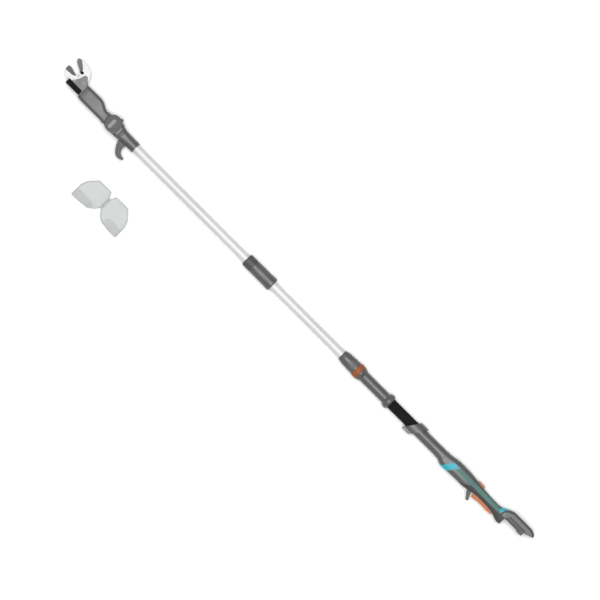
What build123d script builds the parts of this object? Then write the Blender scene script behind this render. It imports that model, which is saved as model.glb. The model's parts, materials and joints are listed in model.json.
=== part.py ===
from build123d import *
import os
from math import cos, radians, sin, tan

# Telescoping battery pole pruner, lying on its left-right side on a floor, millimetres.
# +X runs along the pole to the cutting head, +Y to the tool's underside (trigger and
# branch hook), +Z up from the floor.  Every profile below is drawn from the pole's axis:
# x along the pole from the middle of the tool's length, y to the underside, z to the left.

# ---- Driving dimensions -------------------------------------------------------------
AXIS_Y = -86.6            # the pole's axis in the row frame
AXIS_Z = 30.0             # half the width of the battery foot, which lies on the floor
TUBE_R = 15.0             # sliding tubes, 30 mm across
TUBE_WALL = 1.2
OUTER_R = 16.7            # outer tube
OUTER_BORE_R = 15.4
SHELL_WALL = 2.4
FIT = 0.05                # radial running clearance
FLOOR_HALF = 30.0         # foot and tilt caps reach this far from the axis

NUT_FRONT, NUT_REAR, RING_REAR = -216.0, -280.0, -299.0
SLEEVE_END = -437.0
NECK_FRONT, NECK_REAR = -546.0, -664.0
NECK_R = 19.0
OUTER_REAR = -686.0
LOWER_REAR, LOWER_FRONT = -372.0, 157.0
COUPLING_REAR, COUPLING_SPLIT, COUPLING_FRONT = 98.0, 184.0, 216.0
UPPER_REAR, UPPER_FRONT = 159.0, 772.0
SOCKET_REAR = 718.0

KNUCKLE = (824.0, -4.8)   # tilt axis
EAR_R, HUB_R = 28.5, 23.0
HUB_HALF, EAR_IN, EAR_OUT = 13.5, 14.0, 26.0
HEAD_FRONT = 968.0
CHEEK_IN, CHEEK_OUT = 7.0, 11.6
MOTOR_R = 14.0

BLADE_PIVOT = (982.7, -28.3)
PIVOT_BOLT_R = 5.0
BLADE_SWING = 34.0        # degrees from open to closed past the fixed jaw
SCREW_Y = 1.0             # lead screw axis below the pole's axis
CROSS_PIN_Y = -10.3       # the nut's cross pin
CROSS_PIN_R = 3.0
PIN_DROP = CROSS_PIN_Y - BLADE_PIVOT[1]
PIN_REST_X = BLADE_PIVOT[0] + PIN_DROP * tan(radians(BLADE_SWING / 2))

TRIGGER_PIVOT = (-914.0, 9.0)
GUARD_HINGE_X = 664.0
GUARD_HEIGHT = 15.0
GUARD_WALL = 1.6


# ---- Planes and small makers --------------------------------------------------------
def side(height):
    """Plane seen from the tool's left: x along the pole, y to the underside."""
    return Plane((0, AXIS_Y, AXIS_Z + height))


def across(x):
    """Plane square to the pole: its x is the row's Y, its y is the row's Z."""
    return Plane(origin=(x, AXIS_Y, AXIS_Z), x_dir=(0, 1, 0), z_dir=(1, 0, 0))


LATHE = Plane(origin=(0, AXIS_Y, AXIS_Z), x_dir=(1, 0, 0), z_dir=(0, -1, 0))
POLE_AXIS = Axis((0, AXIS_Y, AXIS_Z), (1, 0, 0))


def tube(x_from, x_to, outer_r, inner_r, drop=0.0):
    """Plain tube along X, its axis drop below the pole's axis."""
    with BuildPart() as body:
        with BuildSketch(across(x_from)):
            with Locations((drop, 0)):
                Circle(outer_r)
                if inner_r > 0:
                    Circle(inner_r, mode=Mode.SUBTRACT)
        extrude(amount=x_to - x_from)
    return body.part


def turned(profile):
    """Solid turned about the pole's axis from (x, radius) corners."""
    with BuildPart() as body:
        with BuildSketch(LATHE):
            with BuildLine():
                Polyline(*profile, close=True)
            make_face()
        revolve(axis=POLE_AXIS)
    return body.part


def slab(x_from, x_to, top, bottom, z_from, z_to):
    """Plain block from its limits."""
    with BuildPart() as body:
        with BuildSketch(side(z_from)):
            with Locations(((x_from + x_to) / 2, (top + bottom) / 2)):
                Rectangle(x_to - x_from, bottom - top)
        extrude(amount=z_to - z_from)
    return body.part


def plate(corners, z_from, z_to, radius=0.0):
    """Flat plate from its outline's corners, all rounded alike."""
    with BuildPart() as body:
        with BuildSketch(side(z_from)):
            with BuildLine():
                if radius > 0:
                    FilletPolyline(*corners, radius=radius, close=True)
                else:
                    Polyline(*corners, close=True)
            make_face()
        extrude(amount=z_to - z_from)
    return body.part


def post(place, z_from, z_to, radius):
    """Round bar along Z."""
    with BuildPart() as body:
        with BuildSketch(side(z_from)):
            with Locations(place):
                Circle(radius)
        extrude(amount=z_to - z_from)
    return body.part


def casing(stations):
    """Solid lofted along the pole: (x, top, bottom, half width, corner radius)."""
    with BuildPart() as body:
        for x, top, bottom, half_width, corner in stations:
            with BuildSketch(across(x)):
                with Locations(((top + bottom) / 2, 0)):
                    RectangleRounded(bottom - top, 2 * half_width, corner)
        loft(ruled=True)
    return body.part


def eased(stations, steps=2):
    """More stations between the given ones, on a smooth curve through them."""
    last = len(stations) - 1
    eased_stations = []
    for i in range(last):
        before, start, end, after = (stations[max(0, min(last, i + k))] for k in (-1, 0, 1, 2))
        for step in range(steps):
            t = step / steps
            eased_stations.append(tuple(
                0.5 * (
                    2 * b + (c - a) * t
                    + (2 * a - 5 * b + 4 * c - d) * t**2
                    + (3 * b - a - 3 * c + d) * t**3
                )
                for a, b, c, d in zip(before, start, end, after)
            ))
    return eased_stations + [stations[last]]


def inset(stations, wall):
    """The same stations drawn in by a wall thickness on every side."""
    return [
        (x, top + wall, bottom - wall, half - wall, max(corner - wall, 1.0))
        for x, top, bottom, half, corner in stations
    ]


def from_knuckle(radius, degrees):
    """A point round the tilt axis, counted from +X towards the underside."""
    turn = radians(degrees)
    return (KNUCKLE[0] + radius * cos(turn), KNUCKLE[1] + radius * sin(turn))


pieces = {}

# ---- Pole ---------------------------------------------------------------------------
with BuildPart() as lower_tube:
    add(tube(LOWER_REAR + 6, LOWER_FRONT, TUBE_R, TUBE_R - TUBE_WALL))
pieces["lower_tube"] = lower_tube

with BuildPart() as upper_tube:
    add(tube(UPPER_REAR, UPPER_FRONT, TUBE_R, TUBE_R - TUBE_WALL))
pieces["upper_tube"] = upper_tube

# Guides the sliding tube's rear end in the outer tube and lets the lead through.
with BuildPart() as slider_plug:
    add(tube(LOWER_REAR, LOWER_REAR + 6, OUTER_BORE_R - FIT, 6))
    add(tube(LOWER_REAR + 6, LOWER_REAR + 30, TUBE_R - TUBE_WALL, 6))
pieces["slider_plug"] = slider_plug

# Joins the two sliding tubes from inside.
with BuildPart() as coupling_spigot:
    add(tube(110, 206, TUBE_R - TUBE_WALL, 11.5))
pieces["coupling_spigot"] = coupling_spigot

# Fixed to the upper tube: a ring with a threaded spigot that the sleeve screws on to.
with BuildPart() as coupling_socket:
    add(turned([
        (COUPLING_FRONT, TUBE_R), (COUPLING_FRONT, 19.5), (COUPLING_FRONT - 4, 22),
        (COUPLING_SPLIT, 22), (COUPLING_SPLIT, 18.5), (118, 18.5), (118, TUBE_R),
    ]))
pieces["coupling_socket"] = coupling_socket

# Collar on the lower tube that the sleeve's rear lip pulls forward.
with BuildPart() as coupling_ferrule:
    add(tube(106, 117.6, 18.2, TUBE_R))
pieces["coupling_ferrule"] = coupling_ferrule

with BuildPart() as coupling_sleeve:
    add(turned([
        (COUPLING_REAR, 15.4), (COUPLING_REAR, 21.2), (COUPLING_REAR + 3, 23),
        (COUPLING_REAR + 14, 23), (COUPLING_REAR + 24, 22), (COUPLING_SPLIT - 0.5, 22),
        (COUPLING_SPLIT - 0.5, 18.5 + FIT), (105, 18.5 + FIT), (105, 15.4),
    ]))
    with BuildSketch(across(COUPLING_REAR + 26)):
        with PolarLocations(24.6, 14):
            Circle(3.2)
    extrude(amount=46, mode=Mode.SUBTRACT)
pieces["coupling_sleeve"] = coupling_sleeve

# ---- Clamp --------------------------------------------------------------------------
with BuildPart() as outer_tube:
    add(tube(OUTER_REAR, -250, OUTER_R, OUTER_BORE_R))
pieces["outer_tube"] = outer_tube

# Threaded spigot under the nut, shoulder, sleeve and end ring, in one moulding.
with BuildPart() as front_sleeve:
    add(turned([
        (-236, OUTER_R), (-236, 19.5), (-299.5, 19.5), (-299.5, 24), (-303, 24),
        (-315, 18.2), (-414, 18.2), (-419, 23), (-424, 25), (-431, 25), (-436, 22),
        (SLEEVE_END, 20), (SLEEVE_END, OUTER_R),
    ]))
    chamfer(front_sleeve.edges().filter_by(GeomType.CIRCLE).group_by(Axis.X)[-1][-1:], 0.8)
pieces["front_sleeve"] = front_sleeve

COLLET_SLOTS = 6
with BuildPart() as clamp_collet:
    add(turned([
        (-220, TUBE_R + FIT), (-220, 16.0), (-226, 17.5), (-235.5, 18.8), (-235.5, 16.6),
        (-249.5, 16.6), (-249.5, TUBE_R + FIT),
    ]))
    with BuildSketch(across(-242)):
        with PolarLocations(17, COLLET_SLOTS):
            Rectangle(6, 1.6)
    extrude(amount=30, mode=Mode.SUBTRACT)
pieces["clamp_collet"] = clamp_collet

NUT_RIBS = 16
with BuildPart() as clamp_nut:
    add(turned([
        (NUT_FRONT, 15.4), (NUT_FRONT, 16.6), (-222, 18.8), (-232, 21), (-262, 22.4),
        (NUT_REAR, 22.4), (NUT_REAR, 19.5 + 2 * FIT), (-236, 19.5 + 2 * FIT), (-226, 18.0),
        (-219.5, 16.4), (-219.5, 15.4),
    ]))
    with BuildSketch(across(NUT_REAR + 4)):
        with PolarLocations(24.4, NUT_RIBS):
            Circle(2.7)
    extrude(amount=30, mode=Mode.SUBTRACT)
pieces["clamp_nut"] = clamp_nut

with BuildPart() as clamp_ring:
    add(turned([
        (NUT_REAR, 19.5 + 2 * FIT), (NUT_REAR, 23.2), (NUT_REAR - 2, 24.2),
        (RING_REAR + 2, 24.2), (RING_REAR, 23.2), (RING_REAR, 19.5 + 2 * FIT),
    ]))
pieces["clamp_ring"] = clamp_ring

with BuildPart() as soft_grip:
    add(tube(NECK_FRONT + 0.5, SLEEVE_END, 17.6, OUTER_R))
pieces["soft_grip"] = soft_grip

# Leaning collar whose lower lobe holds the carrying strap's eye.
STRAP_EYE = (-530.5, 24.6)
STRAP_EYE_R = 2.75
STRAP_TAB_HALF = 6.0
leaning_band = plate([(-513, 31), (-546, 31), (-586, -27), (-553, -27)], -30, 30, 3)
with BuildPart() as strap_collar:
    with BuildSketch(across(-590)):
        with Locations((2.3, 0)):
            Ellipse(27.9, 23.5)
    extrude(amount=80)
    add(leaning_band, mode=Mode.INTERSECT)
    add(slab(-590, -510, 19.6, 32, STRAP_TAB_HALF, 30), mode=Mode.SUBTRACT)
    add(slab(-590, -510, 19.6, 32, -30, -STRAP_TAB_HALF), mode=Mode.SUBTRACT)
    add(tube(NECK_FRONT + 0.5, -500, 17.6, 0), mode=Mode.SUBTRACT)
    add(tube(-600, NECK_FRONT + 0.5, NECK_R, 0), mode=Mode.SUBTRACT)
    add(post(STRAP_EYE, -30, 30, STRAP_EYE_R), mode=Mode.SUBTRACT)
pieces["strap_collar"] = strap_collar

# ---- Handle shells ------------------------------------------------------------------
HANDLE = [
    (NECK_REAR + 24, -19.2, 19.2, 19.2, 18.6),
    (NECK_REAR - 4, -19.3, 20.2, 19.6, 18.6),
    (-684, -19.6, 27.6, 21.5, 18),
    (-704, -22.0, 27.8, 23, 18),
    (-724, -25.4, 26.6, 24, 18),
    (-755, -25.8, 25.6, 24, 18),
    (-782, -24.6, 25.4, 22.5, 16),
    (-806, -22.0, 21.6, 19.5, 14),
    (-828, -18.6, 16.6, 17.2, 12),
    (-860, -16.0, 15.2, 16.4, 11),
    (-890, -14.8, 16.2, 16.6, 11),
    (-914, -14.8, 19.2, 18.2, 11),
    (-930, -18.6, 25.0, 21.5, 12),
    (-941, -24.6, 28.6, 24.5, 12),
    (-953, -29.0, 27.8, 25.5, 12),
]
FOOT = [
    (-1061, -22), (-1056, -27.5), (-1042, -33.4), (-1012, -34.3), (-966, -34.3), (-946, -26),
    (-936, -16), (-936, 2), (-957, 2), (-957, -5), (-1013, -5), (-1030, -6.4), (-1060, -15.5),
]
# Flat of each side, inside a wide shallow bevel along the foot's back and rear end.
FOOT_FLAT = [
    (-1056, -18.4), (-1054.4, -19.5), (-1040.3, -25.4), (-1011.9, -26.3), (-967.6, -26.3), (-948.1, -18.2),
    (-939, -9.1), (-939, 1), (-956, 1), (-956, -6), (-1013, -6), (-1029.8, -7.4), (-1054.9, -15),
]
FOOT_BEVEL = 4.0
FOOT_INNER = [
    (-1052, -24), (-1042, -30.8), (-968, -31.6), (-949, -23.5), (-949, -7.6), (-1030, -9), (-1052, -15),
]
TRIGGER_SLOT_HALF = 7.6
LOCKOUT_SLOT_HALF = 6.0

handle_loft = casing(eased(HANDLE))
handle_core = casing(inset(eased(HANDLE[3:-1]), SHELL_WALL))
foot_core = plate(FOOT_INNER, -FLOOR_HALF + 2 * SHELL_WALL, FLOOR_HALF - 2 * SHELL_WALL)

# Shallow groove along each side of the foot.
GROOVE_DEPTH = 1.6
GROOVE = [(-1033, -14.6), (-1030.5, -8.8), (-962, -8.8), (-959, -14.6)]
FOOT_LAYERS = [
    (-FLOOR_HALF, FOOT_FLAT), (FOOT_BEVEL - FLOOR_HALF, FOOT),
    (FLOOR_HALF - FOOT_BEVEL, FOOT), (FLOOR_HALF, FOOT_FLAT),
]
with BuildPart() as foot_form:
    for z, outline in FOOT_LAYERS:
        with BuildSketch(side(z)):
            with BuildLine():
                Polyline(*outline, close=True)
            make_face()
    loft(ruled=True)
    add(plate(GROOVE, FLOOR_HALF - GROOVE_DEPTH, FLOOR_HALF + 1), mode=Mode.SUBTRACT)
    add(plate(GROOVE, -FLOOR_HALF - 1, GROOVE_DEPTH - FLOOR_HALF), mode=Mode.SUBTRACT)

LEAD_WAY_R = 8.0           # the lead's way from the outer tube into the handle
HANDLE_SCREWS = [(-724, -17.5), (-765, 16), (-795, -12), (-944, -8), (-1035, -20.5)]
HANDLE_SCREW_HEADS = [-19.5, -19.5, -16.5, -22.0, -26.5]

# Both side trims sit in a pocket this deep and stand a little proud.
TRIM_DEPTH = 1.2
TRIM_PROUD = 0.3
STRIPE = [(-684, 34), (-714, -10), (-741, -10), (-734, -2), (-709.5, 34)]
INLAY = [(-742.5, -10), (-735.3, 2.2), (-926, 2.2), (-920, -10)]
FLASH = [(-922, -10.4), (-926.4, -17), (-932, -34), (-952, -34), (-941, -16), (-934, -6), (-928.5, 2.2)]
trim_outer = casing(inset(eased(HANDLE), -TRIM_PROUD))
trim_inner = casing(inset(eased(HANDLE), TRIM_DEPTH))
with BuildPart() as trim_skin:
    add(trim_outer)
    add(trim_inner, mode=Mode.SUBTRACT)

screw_posts = []
for place in HANDLE_SCREWS:
    screw_posts.append(post(place, -FLOOR_HALF, FLOOR_HALF, 4.5))

with BuildPart() as handle_solid:
    add(handle_loft)
    add(tube(NECK_REAR + 24, NECK_FRONT, NECK_R, 0))
    add(foot_form.part)

with BuildPart() as handle_hollow:
    add(handle_core)
    add(foot_core)
    for bar in screw_posts:
        add(bar, mode=Mode.SUBTRACT)
    add(tube(-706, OUTER_REAR + 1, LEAD_WAY_R, 0))

with BuildPart() as handle_casing:
    add(handle_solid.part)
    add(handle_hollow.part, mode=Mode.SUBTRACT)
    add(tube(OUTER_REAR, NECK_FRONT + 1, OUTER_R, 0), mode=Mode.SUBTRACT)
    add(slab(-923, -824, -2, 34, -TRIGGER_SLOT_HALF, TRIGGER_SLOT_HALF), mode=Mode.SUBTRACT)
    add(slab(-849, -805, -34, -11, -LOCKOUT_SLOT_HALF, LOCKOUT_SLOT_HALF), mode=Mode.SUBTRACT)

# Prong in front of the trigger, its root held between the shells.
PRONG = [(-799, 14), (-809, 30), (-823.5, 48.5), (-832, 45), (-822, 27), (-819, 14)]
PRONG_HALF = 5.5
with BuildPart() as finger_guard:
    add(plate(PRONG, -PRONG_HALF, PRONG_HALF, 2))
    chamfer(finger_guard.faces().filter_by(Axis.Z).edges(), 0.8)
pieces["finger_guard"] = finger_guard

trim_cutters = []
for trim_name, outline in (("trim_stripes", STRIPE), ("grip_inlays", INLAY), ("tail_flashes", FLASH)):
    with BuildPart() as trim:
        add(plate(outline, 0.2, 40))
        add(plate(outline, -40, -0.2))
        add(trim_skin.part, mode=Mode.INTERSECT)
        if trim_name == "tail_flashes":
            add(foot_form.part, mode=Mode.SUBTRACT)
    pieces[trim_name] = trim
    trim_cutters.append(trim.part)

TRIGGER_PIN_R = 2.0
TRIGGER_PIN_HALF = 14.0
boss_bars = [
    post(TRIGGER_PIVOT, 11.5, 30, 4.5),
    post(TRIGGER_PIVOT, -30, -11.5, 4.5),
]
with BuildPart() as pin_bosses:
    for bar in boss_bars:
        add(bar)
    add(handle_loft, mode=Mode.INTERSECT)

with BuildPart() as handle_body:
    add(handle_casing.part)
    add(pin_bosses.part)
    add(post(TRIGGER_PIVOT, -TRIGGER_PIN_HALF, TRIGGER_PIN_HALF, TRIGGER_PIN_R), mode=Mode.SUBTRACT)
    add(plate(PRONG, -PRONG_HALF, PRONG_HALF, 2), mode=Mode.SUBTRACT)
    for cutter in trim_cutters:
        add(cutter, mode=Mode.SUBTRACT)
    for place, head_z in zip(HANDLE_SCREWS, HANDLE_SCREW_HEADS):
        add(post(place, -40, 8, 1.8), mode=Mode.SUBTRACT)
        add(post(place, -40, head_z + 3, 3.6), mode=Mode.SUBTRACT)

with BuildPart() as handle_shell_left:
    add(handle_body.part)
    split(bisect_by=side(0), keep=Keep.TOP)
pieces["handle_shell_left"] = handle_shell_left

with BuildPart() as handle_shell_right:
    add(handle_body.part)
    split(bisect_by=side(0), keep=Keep.BOTTOM)
pieces["handle_shell_right"] = handle_shell_right


def screw(place, head_z, tip_z, shank_r=1.8, head_r=3.5, head_height=2.6):
    """Pan-head screw put in from the right: its head's underside is at head_z plus its height."""
    toward = 1 if tip_z > head_z else -1
    with BuildPart() as body:
        with BuildSketch(side(head_z)):
            with Locations(place):
                Circle(head_r)
        extrude(amount=head_height * toward)
        with BuildSketch(side(head_z)):
            with Locations(place):
                Circle(shank_r)
        extrude(amount=tip_z - head_z)
        with BuildSketch(side(head_z)):
            with Locations(place):
                RegularPolygon(1.6, 6)
        extrude(amount=1.4 * toward, mode=Mode.SUBTRACT)
    return body.part


with BuildPart() as handle_screws:
    for place, head_z in zip(HANDLE_SCREWS, HANDLE_SCREW_HEADS):
        add(screw(place, head_z + 0.4, 7.5))
pieces["handle_screws"] = handle_screws

# ---- Trigger, lock-out and switch ---------------------------------------------------
TRIGGER_HALF = 7.0
with BuildPart() as trigger:
    with BuildSketch(side(-TRIGGER_HALF)):
        with BuildLine():
            Line((-829, 9), (-829, 25))
            ThreePointArc((-829, 25), (-831, 29), (-836, 29.6))
            Spline((-836, 29.6), (-856, 26.2), (-884, 26.4), (-908, 25.4), (-920.5, 19))
            ThreePointArc((-920.5, 19), (-921, 11), (-917.5, 5.2))
            Line((-917.5, 5.2), (-905, 3.6))
            Line((-905, 3.6), (-829, 9))
        make_face()
    extrude(amount=2 * TRIGGER_HALF)
    fillet(trigger.faces().filter_by(Axis.Z).edges().filter_by(lambda e: e.center().Y > AXIS_Y + 16), 2)
    add(post(TRIGGER_PIVOT, -30, 30, TRIGGER_PIN_R + FIT), mode=Mode.SUBTRACT)
pieces["trigger"] = trigger

with BuildPart() as trigger_pin:
    add(post(TRIGGER_PIVOT, -TRIGGER_PIN_HALF, TRIGGER_PIN_HALF, TRIGGER_PIN_R))
pieces["trigger_pin"] = trigger_pin

# Torsion spring beside the trigger, round its pin.
with BuildPart() as trigger_spring:
    with Locations((TRIGGER_PIVOT[0], AXIS_Y + TRIGGER_PIVOT[1], AXIS_Z + 8.6)):
        Torus(3.2, 0.45)
    with Locations((TRIGGER_PIVOT[0], AXIS_Y + TRIGGER_PIVOT[1], AXIS_Z + 9.45)):
        Torus(3.2, 0.45)
    with Locations((TRIGGER_PIVOT[0], AXIS_Y + TRIGGER_PIVOT[1], AXIS_Z + 10.3)):
        Torus(3.2, 0.45)
pieces["trigger_spring"] = trigger_spring

with BuildPart() as trigger_switch:
    add(slab(-866, -836, -9.5, 1.2, -6.0, 6.0))
    add(slab(-862, -858, 1.2, 2.2, -3, 3))
pieces["trigger_switch"] = trigger_switch

LOCKOUT_HALF = 5.5
with BuildPart() as lockout_slider:
    with BuildSketch(side(-LOCKOUT_HALF)):
        with BuildLine():
            Polyline((-842, -13), (-842, -20))
            ThreePointArc((-842, -20), (-838, -24.4), (-831, -25.4))
            ThreePointArc((-831, -25.4), (-826, -23.6), (-821, -25.8))
            ThreePointArc((-821, -25.8), (-815.5, -25), (-814, -21))
            Polyline((-814, -21), (-814, -13), (-842, -13))
        make_face()
    extrude(amount=2 * LOCKOUT_HALF)
pieces["lockout_slider"] = lockout_slider

# ---- Electronics --------------------------------------------------------------------
with BuildPart() as control_board:
    add(slab(-775, -722, -12, 11, 3.0, 4.6))
pieces["control_board"] = control_board

with BuildPart() as board_parts:
    add(post((-735, -3), 4.6, 14, 5))
    add(post((-748, 4), 4.6, 12, 4))
    add(slab(-774, -760, -8, 6, 4.6, 10))
pieces["board_parts"] = board_parts

# ---- Battery shoe -------------------------------------------------------------------
# Two rails with inward lips under the foot take the battery, which slides on from the rear.
RAIL_FRONT, RAIL_REAR = -958.0, -1013.0
FOOT_UNDERSIDE = -5.0
RAIL_DROP = 3.2
with BuildPart() as battery_rails:
    for sign in (1, -1):
        low, high = sorted((sign * 15, sign * 19))
        add(slab(RAIL_REAR, RAIL_FRONT, FOOT_UNDERSIDE, RAIL_DROP, low, high))
        low, high = sorted((sign * 19, sign * 24))
        add(slab(RAIL_REAR, RAIL_FRONT, 0.4, RAIL_DROP, low, high))
        low, high = sorted((sign * 9, sign * 26))
        add(slab(RAIL_REAR - 16, RAIL_REAR, -5.1, 6.4, low, high))
    chamfer(battery_rails.faces().sort_by(Axis.Y)[-1].edges(), 0.6)
pieces["battery_rails"] = battery_rails

with BuildPart() as contact_block:
    add(slab(-980, RAIL_FRONT - 0.5, FOOT_UNDERSIDE, 1.6, -12, 12))
    for z in (-7.5, -2.5, 2.5, 7.5):
        add(slab(-980, -964, -2, 1.6, z - 1.0, z + 1.0), mode=Mode.SUBTRACT)
pieces["contact_block"] = contact_block

with BuildPart() as battery_contacts:
    for z in (-7.5, -2.5, 2.5, 7.5):
        add(slab(-978, -964, -2, 1.0, z - 0.4, z + 0.4))
pieces["battery_contacts"] = battery_contacts

# ---- Tilt knuckle: the adapter's fork holds the head's hub --------------------------
SOCKET = [
    (SOCKET_REAR, -18.2, 18.2, 18.2, 18.0),
    (750, -18.6, 18.8, 18.6, 18.0),
    (776, -19.4, 20.0, 20.5, 15),
    (790, -22.0, 21.5, 25.0, 12),
    (802, -27.0, 21.8, EAR_OUT, 10),
]
BUTTON_ANGLE = -112.0
BUTTON_HALF_X, BUTTON_HALF_Z = 4.5, 7.0
BUTTON_TRAVEL = 2.8

HOOK_HALF = 4.5
with BuildPart() as branch_hook:
    with BuildSketch(side(-HOOK_HALF)):
        with BuildLine():
            Line((748, 16.5), (748, 24))
            ThreePointArc((748, 24), (746.4, 38), (740.6, 46.2))
            Line((740.6, 46.2), (731.5, 50.4))
            Line((731.5, 50.4), (723.4, 50.6))
            ThreePointArc((723.4, 50.6), (722.4, 56), (727.6, 60.2))
            ThreePointArc((727.6, 60.2), (744.5, 62.4), (757.5, 54.2))
            Spline((757.5, 54.2), (768.5, 40), (777.5, 16.5))
            Line((777.5, 16.5), (748, 16.5))
        make_face()
    extrude(amount=2 * HOOK_HALF)
hook_root = slab(748, 777.5, 16.5, 30, -HOOK_HALF, HOOK_HALF)
pieces["branch_hook"] = branch_hook

socket_loft = casing(eased(SOCKET))
with BuildPart() as ears:
    for low, high in ((EAR_IN, EAR_OUT), (-EAR_OUT, -EAR_IN)):
        add(post(KNUCKLE, low, high, EAR_R))
        add(slab(798, KNUCKLE[0], -27, 21.8, low, high))
    fillet(ears.faces().sort_by(Axis.Z)[-1].edges().sort_by(Axis.X)[1:], 2)

with BuildPart() as roof:
    with BuildSketch(side(-EAR_IN)):
        with BuildLine():
            ThreePointArc(from_knuckle(29, -100), from_knuckle(29, -135), from_knuckle(29, -170))
            Line(from_knuckle(29, -170), from_knuckle(24.2, -170))
            ThreePointArc(from_knuckle(24.2, -170), from_knuckle(24.2, -135), from_knuckle(24.2, -100))
            Line(from_knuckle(24.2, -100), from_knuckle(29, -100))
        make_face()
    extrude(amount=2 * EAR_IN)

button_middle = from_knuckle(28.5, BUTTON_ANGLE)
button_plane = Plane(
    origin=(button_middle[0], AXIS_Y + button_middle[1], AXIS_Z),
    x_dir=(-sin(radians(BUTTON_ANGLE)), cos(radians(BUTTON_ANGLE)), 0),
    z_dir=(cos(radians(BUTTON_ANGLE)), sin(radians(BUTTON_ANGLE)), 0),
)
with BuildPart() as tilt_button:
    with BuildSketch(button_plane.offset(-1.2)):
        RectangleRounded(2 * BUTTON_HALF_X - 0.8, 2 * BUTTON_HALF_Z - 0.8, 1.5)
    extrude(amount=6.2)
    fillet(tilt_button.edges().group_by(Axis.Y)[0], 0.6)
pieces["tilt_button"] = tilt_button

with BuildPart() as button_hole:
    with BuildSketch(button_plane.offset(-8)):
        RectangleRounded(2 * BUTTON_HALF_X, 2 * BUTTON_HALF_Z, 1.8)
    extrude(amount=20)

with BuildPart() as tilt_adapter:
    add(socket_loft)
    add(post(KNUCKLE, -EAR_IN, EAR_IN, HUB_R + 1.0), mode=Mode.SUBTRACT)
    add(ears.part)
    add(roof.part)
    add(tube(SOCKET_REAR - 1, UPPER_FRONT, TUBE_R, 0), mode=Mode.SUBTRACT)
    add(tube(UPPER_FRONT - 1, 812, 6, 0), mode=Mode.SUBTRACT)
    add(post(KNUCKLE, -EAR_OUT - 1, EAR_OUT + 1, PIVOT_BOLT_R), mode=Mode.SUBTRACT)
    add(button_hole.part, mode=Mode.SUBTRACT)
    add(hook_root, mode=Mode.SUBTRACT)
pieces["tilt_adapter"] = tilt_adapter

with BuildPart() as tilt_pin:
    add(post(KNUCKLE, -EAR_OUT, EAR_OUT, PIVOT_BOLT_R))
pieces["tilt_pin"] = tilt_pin

CAP_MIDDLE = (KNUCKLE[0] + 2, KNUCKLE[1] + 3)
with BuildPart() as tilt_caps:
    for low in (EAR_OUT, -FLOOR_HALF):
        with BuildSketch(side(low)):
            with Locations(CAP_MIDDLE):
                SlotOverall(36, 13.5, rotation=90)
        extrude(amount=FLOOR_HALF - EAR_OUT)
    flat_ends = tilt_caps.faces().filter_by(Axis.Z).sort_by(Axis.Z)
    fillet(flat_ends[0].edges() + flat_ends[-1].edges(), 1.5)
pieces["tilt_caps"] = tilt_caps

# ---- Head shells --------------------------------------------------------------------
HEAD = [
    (852, -20.8, 19.6, 18.0, 12),
    (862, -19.2, 17.8, 18.0, 12),
    (874, -20.8, 17.2, 19.0, 12),
    (886, -27.5, 17.2, 20.0, 12),
    (901, -34.0, 17.3, 21.0, 12),
    (918, -34.8, 17.4, 21.0, 12),
    (940, -34.8, 17.3, 20.5, 12),
    (956, -34.8, 17.0, 19.5, 12),
    (HEAD_FRONT - 1, -34.0, 14.5, 17.5, 11),
]
HEAD_SCREWS = [(898, -25), (952, 12.6), (930, -27.5)]
HEAD_SCREW_HEADS = [-18.6, -17.0, -18.4]
head_loft = casing(eased(HEAD))
head_core = casing(inset(eased(HEAD[1:-1]), SHELL_WALL))

with BuildPart() as head_neck:
    add(slab(KNUCKLE[0], 880, KNUCKLE[1] - 17.5, KNUCKLE[1] + 22, -30, 30))
    add(casing([(820, -22.4, 18.4, 18.0, 12), (852, -20.8, 19.6, 18.0, 12)]), mode=Mode.INTERSECT)

with BuildPart() as head_form:
    add(head_loft)
    add(head_neck.part)
    add(post(KNUCKLE, -30, 30, EAR_R + 0.7), mode=Mode.SUBTRACT)
    add(slab(KNUCKLE[0], 862, KNUCKLE[1] - 17, KNUCKLE[1] + 21.5, -HUB_HALF, HUB_HALF))
    add(post(KNUCKLE, -HUB_HALF, HUB_HALF, HUB_R))

with BuildPart() as head_hollow:
    add(head_core)
    for place in HEAD_SCREWS:
        add(post(place, -30, 30, 4.2), mode=Mode.SUBTRACT)
    add(tube(863, 938, MOTOR_R + 0.3, 0, SCREW_Y))
    add(slab(937, HEAD_FRONT + 1, -32.2, 9.9, -CHEEK_OUT, CHEEK_OUT))
    add(tube(835, 864, 4, 0))

with BuildPart() as head_body:
    add(head_form.part)
    add(head_hollow.part, mode=Mode.SUBTRACT)
    add(post(KNUCKLE, -30, 30, PIVOT_BOLT_R + FIT), mode=Mode.SUBTRACT)
    for place, head_z in zip(HEAD_SCREWS, HEAD_SCREW_HEADS):
        add(post(place, -40, 8, 1.8), mode=Mode.SUBTRACT)
        add(post(place, -40, head_z + 3, 3.6), mode=Mode.SUBTRACT)

with BuildPart() as head_shell_left:
    add(head_body.part)
    split(bisect_by=side(0), keep=Keep.TOP)
pieces["head_shell_left"] = head_shell_left

with BuildPart() as head_shell_right:
    add(head_body.part)
    split(bisect_by=side(0), keep=Keep.BOTTOM)
pieces["head_shell_right"] = head_shell_right

with BuildPart() as head_screws:
    for place, head_z in zip(HEAD_SCREWS, HEAD_SCREW_HEADS):
        add(screw(place, head_z + 0.4, 7.5))
pieces["head_screws"] = head_screws

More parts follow.
